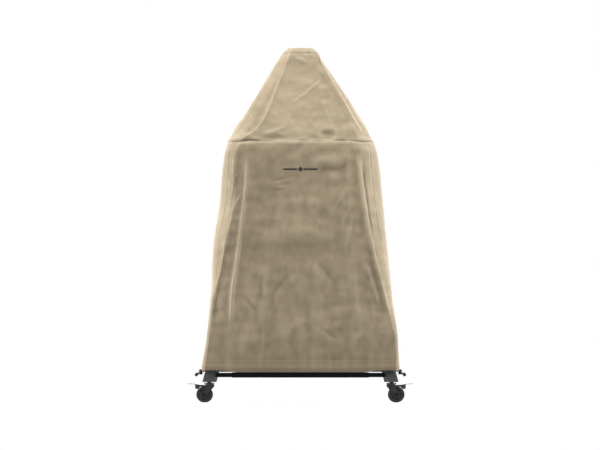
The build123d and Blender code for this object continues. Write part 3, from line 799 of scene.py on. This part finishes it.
# slanting tension lines on the right, from their top to their foot, which sag a little to the left
for top, foot in [
    ((0.268, 1.07), (0.118, 0.82)),
    ((0.266, 0.98), (0.165, 0.74)),
    ((0.262, 0.92), (0.208, 0.66)),
]:
    middle = (0.5 * (top[0] + foot[0]) - 0.008, 0.5 * (top[1] + foot[1]))
    skirt.fold("front", [top, middle, foot], 0.012, 0.0024, fade=0.5)
for centre, reach, height in [
    # the soft bulge beside the mark
    ((0.150, 1.130), (0.062, 0.034), 0.0075),
    # the front leans back down to an uneven shaded hollow, with soft bellies below it
    ((-0.02, 0.805), (0.15, 0.050), 0.0055),
    ((-0.13, 0.765), (0.06, 0.040), 0.0050),
    ((0.11, 0.780), (0.06, 0.040), 0.0060),
    ((0.02, 0.700), (0.15, 0.055), -0.0065),
    ((0.01, 0.570), (0.11, 0.080), 0.0060),
    ((-0.20, 0.600), (0.06, 0.090), 0.0040),
    ((0.22, 0.560), (0.05, 0.080), 0.0035),
]:
    skirt.swell("front", centre, reach, height)

# the sides and the back hang in folds of the same kind
for face, half in (("left", 0.26), ("right", 0.26), ("back", 0.30)):
    for edge in (-1, 1):
        ridge = [
            (edge * (half - 0.06), 1.17), (edge * (half - 0.05), 0.95), (edge * (half - 0.02), 0.66),
            (edge * (half + 0.01), 0.34),
        ]
        height = rng.uniform(0.0035, 0.0060)
        skirt.fold(face, ridge, 0.016, height, sharp=1.2, lean=0.3 * edge, fade=0.12)
        skirt.fold(face, [(edge * 0.15, 1.10), (edge * 0.18, 0.90), (edge * 0.23, 0.68)],
                   0.018, rng.uniform(0.003, 0.006), lean=-0.3 * edge)
    for _ in range(10):
        s, z = rng.uniform(0.1 - half, half - 0.1), rng.uniform(0.30, 1.05)
        drift, drop = rng.uniform(-0.08, 0.08), rng.uniform(0.10, 0.24)
        skirt.fold(face, [(s, z), (s + 0.4 * drift, z - 0.5 * drop), (s + drift, z - drop)],
                   rng.uniform(0.012, 0.020), rng.uniform(-0.0045, 0.0045), fade=0.45)

# gathers under the shoulder seam and above the hem's stitching
skirt.ripple((0.045, 0.06), 0.0030, 5, near=seam_height - 0.020, reach=0.035)
skirt.ripple((0.090, 0.05), 0.0040, 6, near=seam_height - 0.050, reach=0.045)
skirt.ripple((0.034, 0.08), 0.0011, 8, near=stitch_height, reach=0.035)
skirt.groove(seam_height, 0.0030, 0.0010)
# the hem is laid over the skirt's foot, which is flat there
skirt.move[:HEM_ROWS] = skirt.move[HEM_ROWS]
sew_corners(skirt)


SEAM_DROP, SEAM_DROP_REACH = 0.005, 0.05


def drop_seam(cloth):
    """The shoulder seam hangs a little lower at the sides than at the middle of the front and back."""
    near = np.exp(-(((cloth.height - seam_height) / SEAM_DROP_REACH) ** 2))
    cloth.place[:, :, 2] -= SEAM_DROP * near * np.abs(cloth.place[:, :, 0] / seam_half_width) ** 4


drop_seam(skirt)
for face, (first, last) in PANELS.items():
    skirt.panel("cover_skirt_" + face, first, last, ["skirt_" + face])

# ---------------- the hood

hood_rows = 100
SEAM_ROWS = 6  # the hood's rows over which its outward direction leaves the skirt's
hood = Cloth(wall(hood_form, np.linspace(seam_height, cap_seam, hood_rows)))
hood_climb = (hood.height - seam_height) / (cap_seam - seam_height)
front_and_back = np.abs(hood.outward[:, :, 1]) ** 2
# the cap's seam is higher at the middle of the front and the back than at the sides
CAP_ARCH = 0.011
cap_arch = CAP_ARCH * np.clip(front_and_back[-1] * 1.4, 0, 1)

# between its corners the hood hangs a little hollow
hood.move -= 0.010 * np.sin(pi * hood_climb) * np.clip(front_and_back * 1.2 - 0.2, 0, 1)
hood.move -= 0.008 * np.sin(pi * hood_climb) * np.clip(1 - 1.6 * front_and_back, 0, 1)
hood.ripple((0.15, 0.16), 0.0050, 11)
hood.ripple((0.070, 0.06), 0.0040, 12)
hood.ripple((0.030, 0.030), 0.0011, 13)
# the folds of its front: their path, width, height, sharpness and fade
for path, width, height, sharp, fade in [
    # the sharp ridge on the left, and the pair of ridge and crease on the right
    ([(-0.044, 1.640), (-0.088, 1.546), (-0.135, 1.441), (-0.178, 1.335), (-0.205, 1.275),
      (-0.233, 1.250), (-0.270, 1.230)], 0.011, 0.0085, 1.1, 0.06),
    ([(0.077, 1.640), (0.120, 1.546), (0.178, 1.441), (0.240, 1.335), (0.300, 1.262)],
     0.011, 0.0080, 1.2, 0.08),
    ([(0.092, 1.635), (0.138, 1.546), (0.198, 1.441), (0.262, 1.335), (0.325, 1.262)],
     0.009, -0.0035, 1.3, 0.1),
    # the thin diagonal line between them, the soft fold down to the right, and a pucker under the cap
    ([(0.100, 1.528), (0.030, 1.470), (-0.050, 1.410)], 0.006, 0.0034, 1.1, 0.2),
    ([(0.072, 1.540), (0.080, 1.493), (0.103, 1.388), (0.145, 1.304), (0.200, 1.240)],
     0.019, 0.0045, 1.5, 0.25),
    ([(-0.035, 1.614), (0.000, 1.607), (0.036, 1.596)], 0.006, 0.0026, 1.5, 0.4),
    # short folds above the shoulder seam
    ([(-0.190, 1.250), (-0.130, 1.266), (-0.055, 1.300)], 0.013, 0.0045, 1.5, 0.4),
    ([(0.030, 1.250), (0.100, 1.242), (0.170, 1.240)], 0.010, -0.0035, 1.5, 0.4),
]:
    hood.fold("front", path, width, height, sharp=sharp, fade=fade)
# dents above the shoulder seam
hood.swell("front", (0.130, 1.262), (0.030, 0.018), -0.0120)
hood.swell("front", (-0.100, 1.240), (0.052, 0.014), -0.0095)
for face, half in (("left", 0.21), ("right", 0.21), ("back", 0.25)):
    for edge in (-1, 1):
        hood.fold(face, [(edge * 0.045, 1.63), (edge * half * 0.62, 1.42), (edge * half, 1.25)],
                  0.014, rng.uniform(0.005, 0.008), sharp=1.2, fade=0.12)
    for _ in range(5):
        s, z = rng.uniform(-0.5 * half, 0.5 * half), rng.uniform(1.30, 1.50)
        drift = rng.uniform(-0.06, 0.06)
        hood.fold(face, [(s, z), (s + drift, z - 0.05), (s + 1.4 * drift, z - 0.10)],
                  0.013, rng.uniform(-0.004, 0.004), fade=0.45)
hood.ripple((0.050, 0.05), 0.0035, 15, near=seam_height + 0.020, reach=0.030)
hood.ripple((0.016, 0.06), 0.0018, 16, near=cap_seam, reach=0.030)
hood.groove(cap_seam, 0.0040, 0.0030)
sew_corners(hood)
hood.join_to(0, skirt.move[-1], 0.006)
# both bands move the same way at the seam, so that it stays closed
for row in range(SEAM_ROWS):
    share = row / SEAM_ROWS
    turned = (1 - share) * skirt.outward[-1] + share * hood.outward[row]
    hood.outward[row] = turned / np.linalg.norm(turned, axis=1, keepdims=True)
drop_seam(hood)
hood.place[:, :, 2] += cap_arch * np.clip(hood_climb * 6 - 5, 0, 1) ** 2
for face, (first, last) in PANELS.items():
    hood.panel("cover_hood_" + face, first, last, ["hood_" + face])

# ---------------- the cap

side_rows = 14
climb = np.linspace(0.0, 1.0, side_rows)
top_half_width, top_half_depth, top_turn = 0.058, 0.054, 0.036
cap_form = Form(
    left=[(0.0, cap_half_width), (0.5, 0.0745), (1.0, top_half_width)],
    right=[(0.0, cap_half_width), (0.5, 0.0745), (1.0, top_half_width)],
    depth=[(0.0, cap_half_depth), (0.5, 0.0695), (1.0, top_half_depth)],
    turn_left=[(0.0, cap_turn_left), (1.0, top_turn)],
    turn_right=[(0.0, cap_turn_right), (1.0, top_turn)],
    deeper=[(0.0, CAP_DEEPER), (1.0, CAP_DEEPER)],
)
sides_of_cap = wall(cap_form, climb)
crown_height, highest_wrinkle = 0.0015, 0.0015
sides_of_cap[:, :, 2] = cap_seam + (cover_top - crown_height - cap_seam) * climb[:, None] ** 0.9
sides_of_cap[:, :, 2] += cap_arch * (1 - climb[:, None])
closing = [0.97, 0.92, 0.84, 0.74, 0.62, 0.50, 0.38, 0.26, 0.14, 0.04]
crown = [sides_of_cap[-1] * (share, share, 1) + (0, 0, crown_height * (1 - share**2)) for share in closing]
cap = Cloth(np.concatenate([sides_of_cap, crown]))
cap.ripple((0.030, 0.030), 0.0016, 21)
cap.ripple((0.014, 0.014), 0.0007, 22)
cap.move = np.minimum(cap.move, highest_wrinkle)
cap.join_to(0, hood.move[-1], 0.004)
cap.move[side_rows - 1 :] *= np.linspace(1, 0.3, cap.move.shape[0] - side_rows + 1)[:, None]
cap.panel("cover_cap", 0, len(COLUMNS), ["cap_band", "cap_top"])

# ---------------- the hem

hem_thickness, hem_fold = 0.0034, 0.0017
hem_rise = stitch_height - hem_low
inside_top = 0.85 * hem_rise
# the drawcord's tunnel bulges a little
tunnel_bulge, tunnel_height, tunnel_reach = 0.0028, 0.020, 0.013
# the edge is drawn up at the corners, beyond these distances from the middle
hem_lift = 0.0085
lift_start_x, lift_start_y, lift_reach = 0.29, 0.20, 0.10
edge_follows = 0.35  # the edge's share of the folds above it


def hem_profile():
    """The hem's cross section from the inside up over the fold: (inset, height above the edge)."""
    inside = [(hem_thickness, h) for h in np.linspace(inside_top, hem_fold, 10, endpoint=False)]
    turn = [
        (hem_fold + hem_fold * cos(angle), hem_fold - hem_fold * sin(angle))
        for angle in np.linspace(0, pi, 7)
    ]
    outside = []
    for h in np.linspace(hem_fold, hem_rise, 30)[1:]:
        laid_over = CLOTH_THICKNESS * min(1.0, h / hem_overlap)
        bulge = tunnel_bulge * np.exp(-(((h - tunnel_height) / tunnel_reach) ** 2))
        outside.append((-laid_over - bulge, h))
    tuck = [(-0.5 * CLOTH_THICKNESS, hem_rise + 0.0006), (0.3 * CLOTH_THICKNESS, hem_rise + 0.0002)]
    return inside + turn + outside + tuck


def hem_place():
    """The hem's grid and its outward directions."""
    rows, directions = [], []
    for inset, above in hem_profile():
        height = hem_low + above
        ring = wall(skirt_form, np.array([height]))[0]
        outward = Cloth(wall(skirt_form, np.array([height, height + 0.01]))).outward[0]
        past_x = np.clip((np.abs(ring[:, 0]) - lift_start_x) / lift_reach, 0, 1)
        past_y = np.clip((np.abs(ring[:, 1]) - lift_start_y) / lift_reach, 0, 1)
        corner = past_x**2 * (3 - 2 * past_x) * past_y**2 * (3 - 2 * past_y)
        ring = ring - outward * inset
        ring[:, 2] = height + hem_lift * corner * (1 - above / hem_rise)
        rows.append(ring)
        directions.append(outward)
    return np.array(rows), np.array(directions)


hem_rows, hem_outward = hem_place()
hem = Cloth(hem_rows)
hem.outward = hem_outward
follow = np.clip((hem.height - hem_low) / hem_rise, 0, 1)
hem.move = (edge_follows + (1 - edge_follows) * follow) * skirt.move[0]
hem.panel("cover_hem", 0, len(COLUMNS), ["hem_band"])

# ---------------- stitches


def stitches(name, cloth, row, length=0.0034, gap=0.0018, thickness=0.0009):
    """A closed row of stitches on one row of the grid, each a short thread that dips at its ends."""
    line = cloth.surface()[row]
    outward = cloth.outward[row]
    ring = np.vstack([line, line[:1]])
    gone = gone_along(ring, 0)
    count = int(gone[-1] / (length + gap))
    sides, stations = 6, 5
    vertices, faces = [], []
    for number in range(count):
        middle = (number + 0.5) * gone[-1] / count
        for station in range(stations):
            t = 2 * station / (stations - 1) - 1
            along = middle + t * length / 2
            place = np.array([np.interp(along, gone, ring[:, k]) for k in range(3)])
            i = min(int(np.searchsorted(gone, along)), len(line)) - 1
            out = outward[i]
            ahead = ring[i + 1] - ring[i]
            ahead = ahead / np.linalg.norm(ahead)
            side = np.cross(out, ahead)
            radius = 0.5 * thickness * (1 - 0.75 * t**4)
            lift = 0.35 * thickness - 0.9 * thickness * t**4
            for k in range(sides):
                angle = 2 * pi * k / sides
                vertices.append(place + out * (lift + radius * cos(angle)) + side * radius * sin(angle))
        base = number * sides * stations
        for station in range(stations - 1):
            for k in range(sides):
                low, next_k = base + station * sides, (k + 1) % sides
                faces.append((low + k, low + next_k, low + sides + next_k, low + sides + k))
        faces.append(tuple(base + k for k in reversed(range(sides))))
        faces.append(tuple(base + (stations - 1) * sides + k for k in range(sides)))
    made = smooth_mesh(name, [tuple(v) for v in vertices], faces, THREAD)
    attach(made, "cover")


hem_last = hem.move.shape[0] - 1
stitches("hem_stitching", hem, hem_last - 3)
stitches("shoulder_stitching", hood, 2)
stitches("shoulder_stitching_low", skirt, skirt_rows - 3)
stitches("cap_stitching", cap, 1, length=0.0030)

# ---------------- the printed mark

mark_low, mark_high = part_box("front_mark")
mark_height = 0.5 * (mark_low.z + mark_high.z)
mark_half = 0.5 * (mark_high.x - mark_low.x)
bar_length, bar_half_width, diamond_half = 0.066, 0.0038, 0.0125
print_lift = 0.0006
in_front = -1.0  # a place clear of the cover, from which the front is looked at

front_first, front_last = PANELS["front"]
front_surface = skirt.surface()[:, front_first : front_last + 1]
front_tree = BVHTree.FromPolygons(
    [Vector(p) for p in front_surface.reshape(-1, 3).tolist()], grid_faces(*front_surface.shape[:2])
)


def on_the_front(x, z):
    """The place on the front of the skirt behind a point, lifted by the ink's thickness."""
    hit = front_tree.ray_cast(Vector((x, in_front, z)), Vector((0, 1, 0)))[0]
    return hit + Vector((0, -print_lift, 0))


def printed(grid, shape):
    """Add a patch of ink: shape turns a place in a unit square into (x, z) on the front."""
    across, up = 40, 8
    corners = [[None] * (up + 1) for _ in range(across + 1)]
    for i in range(across + 1):
        for j in range(up + 1):
            x, z = shape(2 * i / across - 1, 2 * j / up - 1)
            corners[i][j] = grid.verts.new(on_the_front(x, z))
    for i in range(across):
        for j in range(up):
            grid.faces.new((corners[i][j], corners[i + 1][j], corners[i + 1][j + 1], corners[i][j + 1]))


def bar(side):
    """The shape of one bar, at the left or right end of the mark."""
    middle = side * (mark_half - bar_length / 2)
    return lambda u, v: (middle + u * bar_length / 2, mark_height + v * bar_half_width)


def diamond(u, v):
    """A square stood on its corner: the unit square turned by an eighth and scaled."""
    return 0.5 * diamond_half * (u - v), mark_height + 0.5 * diamond_half * (u + v)


ink_grid = bmesh.new()
for side in SIDES.values():
    printed(ink_grid, bar(side))
printed(ink_grid, diamond)
ink = finished_grid("front_print", ink_grid, INK)
ink_thickness = ink.modifiers.new("ink", "SOLIDIFY")
ink_thickness.thickness = print_lift
ink_thickness.offset = -1
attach(ink, "cover")
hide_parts("front_mark")

# ---------------- the stand, oven and casters

# each finish, and how the names of the pieces that have it start
FINISHES = {
    powder_coat("leg_paint", (0.040, 0.040, 0.041), (0.052, 0.052, 0.054)): ["leg_", "foot_plates"],
    powder_coat("frame_paint", (0.004, 0.005, 0.006), (0.008, 0.009, 0.011), 0.12): [
        "lower_rail", "lower_shelf", "deck",
    ],
    powder_coat("oven_paint", (0.042, 0.042, 0.043), (0.058, 0.058, 0.060)): [
        "oven_base", "oven_shell", "flue_cowl",
    ],
    brushed("flue_steel", (0.50, 0.50, 0.51), (0.62, 0.62, 0.63), 0.22, 0.42): ["flue_pipe"],
    brushed("bolt_steel", (0.020, 0.020, 0.021), (0.035, 0.035, 0.036), 0.35, 0.55): [
        "shelf_bolts", "caster_axle",
    ],
    pedal_material(): ["brake_pedal"],
    stone_material(): ["stone_floor"],
    moulded("caster_black", (0.016, 0.016, 0.017), (0.030, 0.030, 0.031)): ["caster_fork"],
    moulded("hub_plastic", (0.020, 0.020, 0.021), (0.036, 0.036, 0.038)): ["wheel_hub"],
    moulded("tyre", (0.014, 0.014, 0.014), (0.026, 0.026, 0.026), 0.55, 0.8): ["tyre"],
    moulded("lock_plastic", (0.010, 0.010, 0.010), (0.018, 0.018, 0.018)): [
        "lock_barrel", "lock_plunger", "cord_end",
    ],
    BRAID: ["drawcord_loop"],
}
for finish, starts in FINISHES.items():
    for name, node in nodes.items():
        if name.startswith(tuple(starts)):
            for kept in node.material_slots:
                kept.material = finish

# ---------------- floor and light

floor_radius = 2.4
floor_grid = bmesh.new()
bmesh.ops.create_circle(floor_grid, cap_ends=True, segments=96, radius=floor_radius)
floor_paint = Paint("floor_paint", (0.56, 0.56, 0.56), 0.8)
floor_paint.colour(floor_paint.between(floor_paint.noise(3.0), (0.55, 0.55, 0.55), (0.57, 0.57, 0.57)))
finished_grid("floor", floor_grid, floor_paint.material)

# the studio is dark in front and bright behind, and dark below the horizon; the camera sees it white
FRONT_LIGHT, BACK_LIGHT, TOP_LIGHT = 0.05, 1.40, 0.4
DARK_FRONT, BRIGHT_BACK = -0.75, 0.45
DARK_BELOW, LIT_ABOVE = -0.15, 0.05
world = bpy.data.worlds.new("studio")
scene.world = world
world.use_nodes = True
sky = Nodes(world.node_tree)
direction = sky.axes(sky.place("Generated"))
from_behind = sky.span(direction["Y"], DARK_FRONT, BRIGHT_BACK, FRONT_LIGHT, BACK_LIGHT, "SMOOTHSTEP")
from_above = sky.span(direction["Z"], high=TOP_LIGHT)
over_horizon = sky.span(direction["Z"], DARK_BELOW, LIT_ABOVE)
lit = sky.math("MULTIPLY", sky.math("ADD", from_behind, from_above), over_horizon)
from_camera = sky.node("ShaderNodeLightPath").outputs["Is Camera Ray"]
seen = sky.node("ShaderNodeMix", {0: from_camera, 2: lit, 3: 1.0}, data_type="FLOAT")
sky.feed(sky.tree.nodes["Background"], {"Color": (1, 1, 1), "Strength": seen.outputs[0]})


def softbox(name, place, size, power):
    """A large square light aimed at the middle of the cover."""
    data = bpy.data.lights.new(name, "AREA")
    data.shape = "SQUARE"
    data.size = size
    data.energy = power
    light = link(name, data)
    light.location = place
    light.rotation_euler = (aim - Vector(place)).to_track_quat("-Z", "Y").to_euler()


softbox("softbox_left", (-3.5, -0.1, 0.8), size=2.0, power=165)
softbox("softbox_right", (3.5, -0.1, 0.8), size=2.0, power=150)
softbox("softbox_top", (0.0, -1.5, 3.7), size=1.6, power=112)
